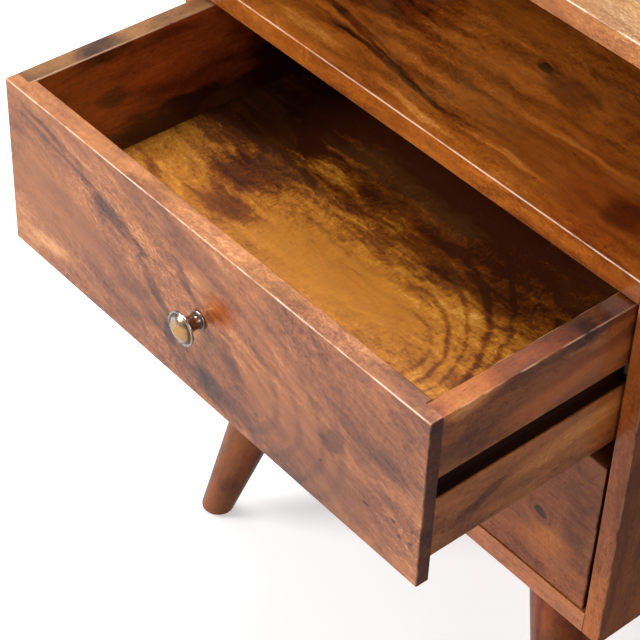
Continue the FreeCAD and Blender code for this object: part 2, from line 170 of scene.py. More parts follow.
def face_distance(place, node, face):
    """Distance in metres to one face of a node's box, such as "+z"."""
    low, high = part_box(node)
    axis = "xyz".index(face[1])
    along = place.node("SeparateXYZ", {}, {0: place}, output=axis)
    return high[axis] - along if face[0] == "+" else along - low[axis]


def by_edges(place, node, edges, width):
    """1 on the named edges of a node's box, such as "-y+z", falling to 0 over width."""
    total = None
    for edge in edges:
        one = face_distance(place, node, edge[:2]).rise(width, 0.0)
        other = face_distance(place, node, edge[2:]).rise(width, 0.0)
        both = one * other
        total = both if total is None else total.math("MAXIMUM", both)
    return total


def painted_groove_shade(place, node, runner):
    """1 inside a drawer side's groove for its runner, and 0 elsewhere."""
    # The mask for the painted shade inside the groove.
    low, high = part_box(runner)
    height = place.node("SeparateXYZ", {}, {0: place}, output=2)
    depth = face_distance(place, node, "+x" if "right" in runner else "-x")
    inside = height.rise(low.z - 0.0012, low.z - 0.0008)
    inside = inside * height.rise(high.z + 0.0010, high.z + 0.0004)
    return inside * depth.rise(0.0004, 0.0020) * depth.rise(0.0100, 0.0090)


def board_frame(node, grain):
    """The corner a board is measured from, and the directions along and across its grain."""
    low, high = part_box(node)
    directions = []
    for sign, name in (grain[:2], grain[2:]):
        direction = Vector([float(axis == name) for axis in "xyz"])
        directions.append(direction if sign == "+" else -direction)
    facing = directions[0] + directions[1] + directions[0].cross(directions[1])
    corner = [low[i] if facing[i] > 0 else high[i] for i in range(3)]
    return corner, directions


def spot(vector, along, across, length, width, angle=0.0):
    """The vector seen from a spot on the board, in units of its half length and half width."""
    any_depth = 10
    return vector.seen_from((along, across, 0), (0, 0, radians(angle)), (length, width, any_depth))


def wood(node, grain, tones, seed, heart=(0.05, -0.16), rings=70.0, ring_depth=0.12, taper=0.06,
         clouds=0.9, middle=0.5, bend=0.06, flecks=0.5, curl=0.25, amber=0.5, slant=0.0,
         quiet=(), knots=(), arcs=(), stains=(), faces=(), worn_and_highlit_edges=(), painted_highlight_edges=(), shaded_corners=(), groove=None,
         measured=None, gloss=0.45, shine=0.35):
    """Lacquered wood for one board.

    grain names the board's directions along and across it, such as "+x-z"; measured gives them as
    board_frame() does.  heart is the pith's place, across and behind the face.  tones run from the
    darkest to the palest.  faces are cut faces and their tints: darker end grain, and painted sheen
    and painted shade over whole faces.  worn, bright and corners name edges, such as "-y+z": the
    first are paler and duller from wear, a paleness that also paints a highlight; the second carry
    a thin broken line of painted highlight; the third are darkened with painted shade.  groove names
    a runner, and the groove that it runs in is darkened with painted shade.  Marks lie at a place on
    the board, in metres:
        quiet   along, across, half length, half width, level the tone fades to
        knots   along, across, size, pull on the rings, depth of the dark eye
        arcs    along, across, half length, half width, angle, thickness, change of tone
        stains  along, across, half length, half width, angle, change of tone, tint
    """
    corner, (along, across) = measured or board_frame(node, grain)
    turn = Matrix((along, across, along.cross(across))).transposed().to_euler()
    shift = (seed * 7.31, seed * 3.17, seed * 5.73)
    slope = (0, 0, radians(slant))
    half = (0.5, 0.5, 0.5)
    material, place = new_material(node + "_wood")

    # The board's frame: straight, bent as the grain wanders, and only a little bent for arcs.
    local = place.seen_from(corner, turn)
    straight = local.vector("ADD", shift).seen_from((0, 0, 0), slope)
    sway = straight.noise((3.0, 8.0, 8.0), detail=3.0, output=1).vector("SUBTRACT", half)
    ripple = straight.noise((45.0, 70.0, 70.0), detail=4.0, output=1).vector("SUBTRACT", half)
    bent = local.vector("ADD", sway.vector("MULTIPLY", (bend, bend, bend)))
    bent = bent.vector("ADD", ripple.vector("MULTIPLY", (0.016, 0.009, 0.009)))
    drawn = bent.vector("ADD", shift).seen_from((0, 0, 0), slope)
    steady = local.vector("ADD", sway.vector("MULTIPLY", (bend * 0.3, bend * 0.3, bend * 0.3)))
    steady = steady.vector("ADD", ripple.vector("MULTIPLY", (0.006, 0.006, 0.0)))

    # Clouds and flames, then the growth rings, which swing round each knot.
    radial = bent.vector("SUBTRACT", (0, heart[0], heart[1])).vector("MULTIPLY", (0, 1, 1)).length()
    run = bent.node("SeparateXYZ", {}, {0: bent})
    phase = (radial + run * taper) * rings
    cloud = drawn.noise((5.0, 17.0, 17.0), detail=6.0, roughness=0.6) - 0.5
    flame = drawn.noise((24.0, 75.0, 75.0), detail=5.0, roughness=0.68, distortion=0.4) - 0.5
    tone = cloud * clouds + flame * (clouds * 0.6) + middle
    swell = drawn.noise((9.0, 22.0, 22.0), detail=3.0).rise(0.38, 0.62)
    for at_along, at_across, size, pull, depth in knots:
        away = spot(bent, at_along, at_across, size * 1.4, size).length()
        phase = phase + (away * away + 1.0) ** -1.0 * pull
        tone = tone - away.rise(0.8, 0.3) * depth
        swell = swell.math("MAXIMUM", away.rise(2.0, 0.8) * min(1.0, pull * 0.3))
    ring = (phase * (2 * pi)).math("SINE") * 0.5 + 0.5

    # The small figure: grit, long fine lines, curl across the grain, chips of colour and pores.
    grit = drawn.noise((330.0, 760.0, 760.0), detail=3.0, roughness=0.75, distortion=0.5) - 0.5
    lines = drawn.noise((12.0, 330.0, 330.0), detail=3.0, roughness=0.6) - 0.5
    waves = drawn.noise((440.0, 110.0, 110.0), detail=3.0, roughness=0.6) - 0.5
    chips = drawn.noise((85.0, 190.0, 190.0), detail=4.0, roughness=0.75, distortion=0.8) - 0.5
    lively = straight.noise((6.0, 16.0, 16.0), detail=2.0).rise(0.40, 0.62) + 0.35
    pores = straight.noise((170.0, 1150.0, 1150.0), detail=2.0, roughness=0.6).rise(0.58, 0.70)
    tone = tone - ring ** 1.5 * swell * ring_depth + lines * 0.3 - pores * 0.16 + waves * curl
    tone = tone + (grit + chips * 0.9) * lively * flecks

    # The marks, placed one by one.
    for at_along, at_across, length, width, level in quiet:
        away = spot(steady, at_along, at_across, length, width).length()
        tone = tone + (level - tone) * ((away + flame * 0.8).rise(1.1, 0.5) * 0.62)
    for at_along, at_across, length, width, angle, thickness, change in arcs:
        seen = spot(steady, at_along, at_across, length, width, angle)
        ahead = seen.node("SeparateXYZ", {}, {0: seen}).rise(-0.2, 0.5)
        tone = tone + (seen.length() - 1.0).math("ABSOLUTE").rise(thickness, 0.0) * ahead * change
    tints = []
    for at_along, at_across, length, width, angle, change, tint in stains:
        away = spot(bent, at_along, at_across, length, width, angle).length()
        mask = (away + flame * 1.2).rise(1.05, 0.35)
        tone = tone + mask * change
        if tint:
            tints.append((mask, tint))

    # The tone becomes a colour, warmed in patches and tinted at marks.  Painted shade darkens corners
    # and the runner's groove, and faces take end-grain tints, painted sheen and painted shade.
    stops = [(at, colour(*value)) for at, value in zip((0.0, 0.34, 0.66, 1.0), tones)]
    shade = tone.node("ValToRGB", {"stops": stops}, {"Fac": tone})
    glow = drawn.noise((10.0, 24.0, 24.0), detail=6.0, roughness=0.62).rise(0.50, 0.68) * amber
    shade = shade.mixed(glow, colour(255, 226, 182), "MULTIPLY").mixed(glow * 0.18, colour(255, 190, 96))
    # Painted shade darkens the corners where a board meets the walls.
    if shaded_corners:
        tints.append((by_edges(place, node, shaded_corners, 0.012) * 0.75, (90, 60, 45)))
    # Painted shade darkens the inside of the runner's groove.
    if groove:
        tints.append((painted_groove_shade(place, node, groove), (66, 48, 38)))
    # Faces take their tints: darker end grain, and painted sheen and painted shade over whole faces.
    for face, tint in faces:
        tints.append((face_distance(place, node, face).rise(0.0012, 0.0004), tint))
    for mask, tint in tints:
        shade = shade.mixed(mask, colour(*tint), "MULTIPLY")

    # Rubbed edges are paler and duller from wear, and that paleness also paints a highlight along the
    # arris; some edges carry a thin broken line of painted highlight.
    dull = pores
    # Paler and duller edges from wear, whose paleness also paints a highlight.
    if worn_and_highlit_edges:
        rubbed_and_highlit = by_edges(place, node, worn_and_highlit_edges, 0.0013) * straight.noise((60, 60, 60)).rise(0.35, 0.6)
        shade = shade.mixed(rubbed_and_highlit * 0.55, colour(226, 176, 134))
        dull = dull.math("MAXIMUM", rubbed_and_highlit)
    # A thin broken line of painted highlight runs along these edges.
    if painted_highlight_edges:
        line = by_edges(place, node, painted_highlight_edges, 0.0011) * straight.noise((35, 120, 120)).rise(0.36, 0.56)
        shade = shade.mixed(line * 0.60, colour(255, 228, 204))
    height = grit * 0.6 + lines * 0.5 - pores
    bump = {"Height": height, "Strength": 0.2, "Distance": 0.0003}
    surface(
        place,
        Base_Color=shade,
        Roughness=0.40 + dull * 0.25 - grit * 0.15,
        Specular_IOR_Level=shine,
        Coat_Weight=gloss - dull * (gloss * 0.6),
        Coat_Roughness=0.14,
        Normal=height.node("Bump", {}, bump),
    )
    dress(node, material)


top_tones = ((76, 34, 12), (146, 78, 32), (200, 124, 62), (248, 186, 118))
front_edges = ("-y+z", "-y-z")
end_grain = (("-x", (150, 118, 100)), ("+x", (150, 118, 100)))
wood("top_panel", "+x+y", top_tones, seed=1, heart=(0.17, -0.09), rings=60, middle=0.60, flecks=0.8,
     # The front arris carries a thin line of painted highlight.
     worn_and_highlit_edges=front_edges + ("-x+z", "+x+z", "+y+z"), painted_highlight_edges=("-y+z",),
     # The bluish tint on the top face is a painted sheen.
     faces=end_grain + (("+z", (182, 206, 244)),))


# ------------------------------------------------------------------ side panels
# Two boards with upright grain stand under the top and carry the whole case.  Their front
# edges are planed flush with the shelf, and the drawer runners are screwed to their inner faces.

side_panel_tones = ((84, 34, 12), (158, 78, 28), (218, 122, 52), (252, 182, 102))
# The tint on the big faces darkens them against the front edges as painted shade.
panel_face_shade = (("-x", (188, 184, 182)), ("+x", (188, 184, 182)))
for node, across, seed in (("left_side_panel", "-y", 2), ("right_side_panel", "+y", 3)):
    wood(node, "+z" + across, side_panel_tones, seed=seed, heart=(0.12, -0.12), rings=55,
         gloss=0.2, shine=0.2, worn_and_highlit_edges=("-x-y", "+x-y"), faces=panel_face_shade)


# ------------------------------------------------------------------ slot shelf
# The shelf between the open slot and the drawers is doweled between the sides.  Its board has
# a strong dark streak that runs across it and swings forward to the right, and one black knot.

shelf_tones = ((44, 15, 2), (118, 56, 12), (178, 98, 28), (232, 160, 78))
wood("slot_shelf", "+x+y", shelf_tones, seed=4, heart=(-0.05, -0.06), rings=75, ring_depth=0.20,
     # The front arris carries a thin line of painted highlight.
     clouds=0.7, taper=-0.08, middle=0.55, slant=-6, worn_and_highlit_edges=front_edges, painted_highlight_edges=("-y+z",),
     quiet=((0.340, 0.045, 0.090, 0.045, 0.45),),
     knots=(
         (0.228, 0.108, 0.007, 2.0, 0.6), (0.306, 0.018, 0.002, 0.3, 0.5),
         (0.305, 0.060, 0.002, 0.3, 0.5),
     ),
     stains=(
         (0.105, 0.021, 0.050, 0.007, -4, 0.24, None),
         (0.210, 0.013, 0.050, 0.006, -4, 0.26, None),
         (0.270, 0.024, 0.060, 0.004, -6, 0.28, None),
         (0.180, 0.033, 0.130, 0.004, -5, -0.34, None),
         (0.150, 0.042, 0.090, 0.003, -9, -0.32, None),
         (0.110, 0.052, 0.080, 0.004, -7, -0.30, None),
         (0.190, 0.052, 0.060, 0.005, -5, 0.14, None),
         (0.290, 0.068, 0.080, 0.004, 2, 0.28, None),
         # This dark reddish mark at the back left is darker wood with painted shadow from the top laid over
         # it.
         (0.080, 0.092, 0.110, 0.040, 0, -0.34, (255, 236, 214)),
         (0.215, 0.106, 0.040, 0.010, 0, -0.16, None),
         # This tint and the next are painted bluish reflections, round the knot and at the right end.
         (0.258, 0.104, 0.030, 0.020, 10, -0.06, (200, 200, 225)),
         (0.363, 0.040, 0.018, 0.018, 0, -0.08, (214, 214, 235)),
         (0.350, 0.030, 0.070, 0.040, -40, -0.04, (250, 225, 205)),
     ))


# ------------------------------------------------------------------ bottom panel
# The bottom board is doweled between the sides like the shelf.  It closes the lower drawer's
# bay and takes the leg bolts, so it is the thickest board.

wood("bottom_panel", "+x+y", side_panel_tones, seed=5, heart=(0.2, -0.1), rings=55, worn_and_highlit_edges=front_edges)


# ------------------------------------------------------------------ back panel and its screws
# A thin stained plywood sheet sits in a rabbet round the back of the case.  Countersunk
# cross-head screws, zinc plated, hold it to the sides, the shelf, the bottom and the top.

wood("back_panel", "+z+x", ((60, 30, 16), (110, 64, 36), (146, 92, 56), (176, 120, 78)), seed=6,
     heart=(0.2, -0.5), rings=40, ring_depth=0.2, gloss=0.25)


def metal(name, worn_colour, clean_colour, cells, low_roughness, high_roughness):
    """Plated or cast metal: patches of two colours, uneven polish, and fine scratches."""
    material, place = new_material(name)
    patches = place.noise((cells, cells, cells), detail=4.0, roughness=0.6).rise(0.35, 0.65)
    marks = place.noise((cells * 3, cells * 22, cells * 22), detail=2.0, distortion=0.5)
    base = patches.node("ValToRGB", {"stops": ((0.0, worn_colour), (1.0, clean_colour))}, {"Fac": patches})
    spread = high_roughness - low_roughness
    bump = {"Height": marks, "Strength": 0.2, "Distance": 0.00008}
    surface(
        place,
        Base_Color=base,
        Metallic=1.0,
        Roughness=high_roughness - patches * (spread * 0.7) + (marks - 0.5) * (spread * 0.6),
        Normal=marks.node("Bump", {}, bump),
    )
    return material


zinc = metal("zinc_plate", colour(150, 150, 142), colour(205, 206, 200), 260, 0.22, 0.42)


def loose_parts(node):
    """The corner points of each separate solid of a node, from a merged copy of its mesh."""
    copy = bmesh.new()
    copy.from_mesh(nodes[node].data)
    bmesh.ops.remove_doubles(copy, verts=copy.verts, dist=1e-6)
    seen = set()
    parts = []
    for start in copy.verts:
        if start in seen:
            continue
        seen.add(start)
        found = [start]
        for corner in found:
            for edge in corner.link_edges:
                near = edge.other_vert(corner)
                if near not in seen:
                    seen.add(near)
                    found.append(near)
        parts.append([corner.co.copy() for corner in found])
    copy.free()
    return parts


def screw_places(node):
    """The middle of each screw's head, the way to its tip, and its length."""
    places = []
    for part in loose_parts(node):
        low = Vector([min(corner[i] for corner in part) for i in range(3)])
        high = Vector([max(corner[i] for corner in part) for i in range(3)])
        axis = max(range(3), key=lambda i: high[i] - low[i])
        middle = (low + high) / 2
        ends = [middle.copy(), middle.copy()]
        ends[0][axis] = low[axis]
        ends[1][axis] = high[axis]
        widest = max(part, key=lambda corner: ((corner - middle).cross(ends[1] - middle)).length)
        head, tip = ends if widest[axis] < middle[axis] else reversed(ends)
        places.append((head, (tip - head).normalized(), (tip - head).length))
    return places


class Growth:
    """A Geometry Nodes tree with named inputs, and short calls that add its nodes."""

    def __init__(self, name, inputs):
        self.tree = bpy.data.node_groups.new(name, "GeometryNodeTree")
        self.tree.interface.new_socket("Geometry", in_out="INPUT", socket_type="NodeSocketGeometry")
        for label, kind in inputs.items():
            self.tree.interface.new_socket(label, in_out="INPUT", socket_type="NodeSocket" + kind)
        self.tree.interface.new_socket("Geometry", in_out="OUTPUT", socket_type="NodeSocketGeometry")
        self.inputs = self.tree.nodes.new("NodeGroupInput").outputs

    def add(self, kind, settings=None, inputs=None, output=0):
        made = self.tree.nodes.new(kind)
        for name, value in (settings or {}).items():
            setattr(made, name, value)
        for name, value in (inputs or {}).items():
            for one in value if isinstance(value, list) else [value]:
                if isinstance(one, bpy.types.NodeSocket):
                    self.tree.links.new(one, made.inputs[name])
                else:
                    made.inputs[name].default_value = one
        return made.outputs[output] if made.outputs else None

    def shape(self, kind, inputs, output=0):
        return self.add("GeometryNode" + kind, {}, inputs, output)

    def math(self, operation, first, second):
        return self.add("ShaderNodeMath", {"operation": operation}, {0: first, 1: second})

    def up(self, geometry, height):
        """The geometry moved along its own Z."""
        place = self.add("ShaderNodeCombineXYZ", {}, {"Z": height})
        return self.shape("Transform", {"Geometry": geometry, "Translation": place})

    def finish(self, instances):
        realized = self.shape("RealizeInstances", {"Geometry": instances})
        painted = self.shape("SetMaterial", {"Geometry": realized, "Material": self.inputs["Material"]})
        self.add("NodeGroupOutput", {}, {"Geometry": painted})
        return self.tree

    def grow(self, name, points, directions, values):
        """A plain mesh object of what the tree makes at these points, each with its direction."""
        mesh = bpy.data.meshes.new(name)
        mesh.from_pydata(points, [], [])
        mesh.attributes.new("direction", "FLOAT_VECTOR", "POINT")
        for held, direction in zip(mesh.attributes["direction"].data, directions):
            held.vector = direction
        piece = bpy.data.objects.new(name, mesh)
        bpy.context.scene.collection.objects.link(piece)
        modifier = piece.modifiers.new(name, "NODES")
        modifier.node_group = self.tree
        for item in self.tree.interface.items_tree:
            if item.name in values:
                modifier[item.identifier] = values[item.name]
        evaluated = piece.evaluated_get(bpy.context.evaluated_depsgraph_get())
        plain = bpy.data.meshes.new_from_object(evaluated)
        piece.modifiers.clear()
        piece.data = plain
        return piece


screws = Growth("wood_screw", {
    "Head Radius": "Float", "Head Depth": "Float", "Core Radius": "Float", "Thread Depth": "Float",
    "Length": "Float", "Tip": "Float", "Turns": "Float", "Cross Width": "Float", "Seed": "Int",
    "Material": "Material",
})
given = screws.inputs
arm = screws.math("MULTIPLY", given["Head Radius"], 1.2)
deep = screws.math("MULTIPLY", given["Head Depth"], 1.1)
slots = []
for long_way in ("X", "Y"):
    sizes = {"X": given["Cross Width"], "Y": given["Cross Width"], "Z": deep}
    sizes[long_way] = arm
    slots.append(screws.shape("MeshCube", {"Size": screws.add("ShaderNodeCombineXYZ", {}, sizes)}))
cone = screws.shape("MeshCone", {
    "Vertices": 32, "Radius Bottom": given["Head Radius"], "Radius Top": given["Core Radius"],
    "Depth": given["Head Depth"],
})
head = screws.add("GeometryNodeMeshBoolean", {"operation": "DIFFERENCE", "solver": "EXACT"},
                  {"Mesh 1": cone, "Mesh 2": slots})
plain_length = screws.math("SUBTRACT", given["Length"], given["Tip"])
plain_length = screws.math("SUBTRACT", plain_length, given["Head Depth"])
core = screws.shape("MeshCone", {
    "Vertices": 16, "Radius Bottom": given["Core Radius"], "Radius Top": given["Core Radius"],
    "Depth": plain_length,
})
tip = screws.shape("MeshCone", {
    "Vertices": 16, "Radius Bottom": given["Core Radius"], "Radius Top": 0.0, "Depth": given["Tip"],
})
spiral = screws.shape("CurveSpiral", {
    "Resolution": 12, "Rotations": given["Turns"], "Start Radius": given["Core Radius"],
    "End Radius": given["Core Radius"], "Height": plain_length,
})
ridge = screws.shape("CurvePrimitiveCircle", {"Resolution": 3, "Radius": given["Thread Depth"]})
thread = screws.shape("CurveToMesh", {"Curve": spiral, "Profile Curve": ridge, "Fill Caps": True})
screw = screws.shape("JoinGeometry", {"Geometry": [
    head,
    screws.up(core, given["Head Depth"]),
    screws.up(thread, given["Head Depth"]),
    screws.up(tip, screws.math("SUBTRACT", given["Length"], given["Tip"])),
]})
direction = screws.add("GeometryNodeInputNamedAttribute", {"data_type": "FLOAT_VECTOR"},
                       {"Name": "direction"})
facing = screws.add("FunctionNodeAlignRotationToVector", {"axis": "Z"}, {"Vector": direction})
spin = screws.add("FunctionNodeRandomValue", {"data_type": "FLOAT"}, {3: 2 * pi, "Seed": given["Seed"]}, 1)
turned = screws.add("FunctionNodeAxisAngleToRotation", {}, {"Axis": (0, 0, 1), "Angle": spin})
turned = screws.add("FunctionNodeRotateRotation", {"rotation_space": "LOCAL"},
                    {"Rotation": facing, "Rotate By": turned})
screws.finish(screws.shape("InstanceOnPoints", {
    "Points": given["Geometry"], "Instance": screw, "Rotation": turned,
}))


screw_sizes = {
    "Head Radius": 0.0032, "Head Depth": 0.0018, "Core Radius": 0.00115, "Thread Depth": 0.00035,
    "Tip": 0.0030, "Cross Width": 0.0007,
}


def threaded_screws(node, name, turns, seed):
    """Put threaded screws in place of a node's plain ones."""
    heads, directions, lengths = zip(*screw_places(node))
    values = {**screw_sizes, "Length": lengths[0], "Turns": turns, "Seed": seed, "Material": zinc}
    piece = screws.grow(name, heads, directions, values)
    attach(piece, "case")
    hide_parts(node)


threaded_screws("back_panel_screws", "threaded_back_screws", turns=8.0, seed=3)


# ------------------------------------------------------------------ case dowels
# Three beech dowels hold each joint between a side and a level board, glued and unseen.  The
# legs and the drawer fronts have the same kind of dowel.

material, place = new_material("dowel_beech")
flecks = place.noise((900.0, 900.0, 900.0), detail=2.0).rise(0.55, 0.7)
clouds = place.noise((60.0, 60.0, 60.0), detail=3.0)
beech_stops = ((0.2, colour(196, 150, 108)), (0.8, colour(226, 186, 142)))
beech = clouds.node("ValToRGB", {"stops": beech_stops}, {"Fac": clouds})
surface(
    place,
    Base_Color=beech.mixed(flecks * 0.5, colour(150, 100, 66)),
    Roughness=0.62 + flecks * 0.12,
    Normal=flecks.node("Bump", {}, {"Height": flecks, "Strength": 0.2, "Distance": 0.0001}),
)
for node in ("case_dowels", "leg_dowels", "upper_drawer_front_dowels", "lower_drawer_front_dowels"):
    dress(node, material)


# ------------------------------------------------------------------ runners and their screws
# Four waxed strips of pale hardwood are screwed inside the case.  The drawer sides slide on
# them, and each strip's front end stops its drawer flush with the case.

runner_tones = ((120, 84, 52), (160, 122, 84), (190, 154, 112), (214, 182, 142))
for number, node in enumerate(
    ("upper_left_runner", "upper_right_runner", "lower_left_runner", "lower_right_runner")
):
    wood(node, "+y+z", runner_tones, seed=10 + number, rings=90, ring_depth=0.15, bend=0.02, gloss=0.15)
threaded_screws("runner_screws", "threaded_runner_screws", turns=11.0, seed=5)


# ------------------------------------------------------------------ legs
# Four turned legs taper to the foot and splay both ways.  Each is cut level at the top, where
# it meets the underside of the case, and its grain follows its own axis.

leg_tones = ((48, 14, 3), (106, 40, 6), (146, 62, 12), (196, 102, 34))
leg_top_radius = 0.0275
leg_foot_radius = 0.013
for number, node in enumerate(("front_left_leg", "front_right_leg", "rear_left_leg", "rear_right_leg")):
    low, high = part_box(node)
    right = 1 if "right" in node else -1
    rear = 1 if "rear" in node else -1
    outward = Vector((high.x if right > 0 else low.x, high.y if rear > 0 else low.y, 0))
    inward = Vector((low.x if right > 0 else high.x, low.y if rear > 0 else high.y, 0))
    foot = outward - Vector((right, rear, 0)) * leg_foot_radius
    top = inward + Vector((right, rear, 0)) * leg_top_radius + Vector((0, 0, high.z))
    down = (foot - top).normalized()
    side = down.cross(Vector((0, 1, 0))).normalized()
    wood(node, None, leg_tones, seed=20 + number, heart=(-0.03, -0.02), rings=120, ring_depth=0.2,
         clouds=0.8, flecks=0.2, bend=0.03, gloss=0.25, shine=0.18, measured=(top, (down, side)))


# ------------------------------------------------------------------ leg bolts, washers and inserts
# One zinc-plated furniture bolt with a hex socket goes down through the bottom board and a
# washer into a threaded brass insert in the top of each leg.

dress("leg_bolts", zinc)
dress("leg_washers", zinc)
dress("leg_inserts", metal("insert_brass", colour(140, 98, 44), colour(206, 162, 88), 200, 0.2, 0.4))


# ------------------------------------------------------------------ foot glides
# A round brown nylon glide is nailed under each foot so that the case slides on a hard floor.

material, place = new_material("glide_nylon")
grit = place.noise((700.0, 700.0, 700.0), detail=3.0)
scuffs = place.noise((180.0, 60.0, 60.0), detail=4.0).rise(0.5, 0.7)
nylon_stops = ((0.3, colour(38, 30, 26)), (0.7, colour(56, 46, 40)))
nylon = grit.node("ValToRGB", {"stops": nylon_stops}, {"Fac": grit})
surface(
    place,
    Base_Color=nylon.mixed(scuffs * 0.4, colour(104, 92, 82)),
    Roughness=0.48 + scuffs * 0.2,
    Normal=grit.node("Bump", {}, {"Height": grit, "Strength": 0.25, "Distance": 0.0001}),
)
dress("foot_glides", material)


# ------------------------------------------------------------------ drawer fronts
# Each front is one board cut across a branch crotch, so its grain is clouded and swirled.  It
# laps over the ends of the drawer sides, and small dark marks sit near the right end.

front_tones = ((66, 30, 18), (134, 72, 40), (188, 112, 62), (238, 168, 106))
# The ends are darker end grain, and the bluish tint on the top face is a painted sheen.
front_end_grain_and_sheen = end_grain + (("+z", (212, 226, 240)),)
four_edges = front_edges + ("-y+x", "-y-x")
smoke = (226, 216, 222)
wood("upper_drawer_front", "+x-z", front_tones, seed=31, heart=(0.02, 0.10), rings=60, ring_depth=0.12,
     # The top arris carries a thin line of painted highlight.
     taper=0.1, clouds=1.5, middle=0.545, slant=16, flecks=0.9, worn_and_highlit_edges=four_edges, painted_highlight_edges=("-y+z",),
     faces=front_end_grain_and_sheen, quiet=((0.310, 0.098, 0.100, 0.040, 0.46), (0.050, 0.075, 0.070, 0.034, 0.54)),
     knots=(
         (0.240, 0.080, 0.040, 5.0, 0.0),
         (0.372, 0.099, 0.0034, 0.3, 0.7), (0.395, 0.093, 0.0026, 0.2, 0.7),
         (0.401, 0.103, 0.0024, 0.2, 0.6), (0.409, 0.090, 0.0020, 0.2, 0.6),
         (0.411, 0.102, 0.0020, 0.2, 0.5), (0.325, 0.096, 0.0022, 0.2, 0.6),
         (0.267, 0.106, 0.0028, 0.2, 0.5),
     ),
     arcs=(
         (0.232, 0.084, 0.052, 0.044, 10, 0.10, -0.12), (0.234, 0.084, 0.072, 0.054, 8, 0.07, -0.10),
         (0.236, 0.084, 0.092, 0.066, 5, 0.06, -0.12), (0.238, 0.084, 0.108, 0.080, 0, 0.05, -0.08),
     ),
     stains=(
         (0.070, 0.018, 0.080, 0.0035, 5, -0.20, None),
         (0.060, 0.027, 0.070, 0.0025, 5, -0.20, None),
         (0.122, 0.042, 0.038, 0.009, 10, -0.30, smoke),
         (0.158, 0.068, 0.030, 0.009, 50, -0.26, smoke),
         (0.168, 0.104, 0.014, 0.008, 80, -0.24, smoke),
         (0.192, 0.040, 0.018, 0.007, 60, -0.20, smoke),
         (0.240, 0.082, 0.026, 0.012, 60, -0.22, smoke),
         (0.210, 0.118, 0.060, 0.014, -5, -0.12, smoke),
         # This orange patch beside the knob is painted reflection: where the knob hides the sheen.
         (0.228, 0.042, 0.014, 0.016, 15, -0.06, (255, 216, 158)),
         (0.219, 0.056, 0.008, 0.006, 30, -0.22, None),
         (0.334, 0.068, 0.016, 0.018, 20, -0.24, smoke),
         (0.035, 0.118, 0.045, 0.010, 5, 0.26, None),
         (0.300, 0.016, 0.110, 0.018, 8, 0.10, None),
         (0.345, 0.112, 0.100, 0.040, -8, -0.14, None),
     ))
lower_front_tones = ((68, 27, 12), (134, 66, 29), (184, 100, 48), (230, 152, 88))
wood("lower_drawer_front", "+x-z", lower_front_tones, seed=37, heart=(0.10, 0.08), rings=60, ring_depth=0.2,
     clouds=0.6, middle=0.54, amber=0.5, gloss=0.15, shine=0.2, worn_and_highlit_edges=four_edges, faces=front_end_grain_and_sheen,
     knots=((0.363, 0.078, 0.008, 2.5, 0.5),),
     stains=(
         (0.400, 0.070, 0.016, 0.030, 0, -0.12, (245, 232, 228)),
         (0.370, 0.100, 0.040, 0.014, -20, 0.22, (255, 246, 222)),
         (0.330, 0.060, 0.030, 0.040, 20, 0.06, (255, 242, 220)),
     ))


# ------------------------------------------------------------------ drawer sides
# The sides run front to back, with the long groove for the runner outside and a narrow one for
# the bottom inside.  They are stained like the case, and the runner's groove is darkened nearly
# black with painted shade.  Their inner faces are darkened with painted shade, the left side's top
# has a painted bluish sheen, the right side's top is darker and yellower, and dark marks low and at
# the back of the left side are painted shade.

side_tones = ((58, 20, 6), (132, 66, 28), (192, 112, 54), (240, 168, 92))
# The left side's top tint is a painted bluish sheen; the right side's top is darker and yellower.
top_tints = {"right": (168, 146, 104), "left": (172, 202, 236)}
side_marks_and_shade = {
    "right": (
        (0.020, 0.0, 0.030, 0.010, 0, 0.44, None), (0.120, 0.0, 0.050, 0.010, 0, -0.30, None),
        (0.150, 0.020, 0.120, 0.008, -4, -0.10, smoke),
        (0.095, 0.030, 0.060, 0.014, -10, 0.16, (255, 232, 200)),
        (0.120, 0.050, 0.080, 0.014, -6, -0.06, smoke),
        (0.040, 0.090, 0.030, 0.006, -20, -0.20, None), (0.110, 0.085, 0.070, 0.012, -4, 0.22, None),
    ),
    "left": (
        (0.065, 0.0, 0.028, 0.010, 0, -0.34, None),
        # These two dark marks, low along the left side and at its back, are painted shade by the floor.
        (0.120, 0.080, 0.200, 0.020, 0, -0.46, None), (0.230, 0.070, 0.070, 0.070, 30, -0.46, None),
        (0.066, 0.040, 0.016, 0.011, 0, -0.34, None),
        (0.110, 0.036, 0.034, 0.013, 0, 0.20, (255, 236, 206)),
        (0.120, 0.006, 0.140, 0.006, 0, -0.16, None),
    ),
}
side_knots = {"right": ((0.115, 0.0, 0.007, 2.5, 0.3),), "left": ()}
side_quiet = {"right": ((0.110, 0.030, 0.080, 0.018, 0.50),), "left": ()}
# The inner face is darkened with painted shade.
shaded_inner_face = {"right": "-x", "left": "+x"}
for level, seed in (("upper", 41), ("lower", 45)):
    for name, offset in (("right", 0), ("left", 1)):
        wood(level + "_drawer_" + name + "_side", "+y-z", side_tones, seed=seed + offset,
             heart=(0.06, -0.08), rings=60, middle=0.52, bend=0.035, flecks=0.35,
             stains=side_marks_and_shade[name], knots=side_knots[name], quiet=side_quiet[name],
             faces=((shaded_inner_face[name], (206, 176, 140)), ("+z", top_tints[name])),
             worn_and_highlit_edges=("+z-x", "+z+x"), groove=level + "_" + name + "_runner")


# ------------------------------------------------------------------ drawer backs
# The back of each drawer is a plain board of the same wood.  It stands in a dado in each side,
# over the bottom, and is pinned from outside.

for level, seed in (("upper", 51), ("lower", 52)):
    wood(level + "_drawer_back", "+x-z", side_tones, seed=seed, heart=(0.05, -0.1), rings=55, middle=0.46)


# ------------------------------------------------------------------ drawer bottoms
# The bottom is a thinner board, held in grooves on three sides.  It took the stain lightly, so
# it is golden, with brown clouds to the left and one eye of curved rings to the right.  Its back is
# darker wood with painted shadow from the shelf laid over it, and painted shade runs along the walls.

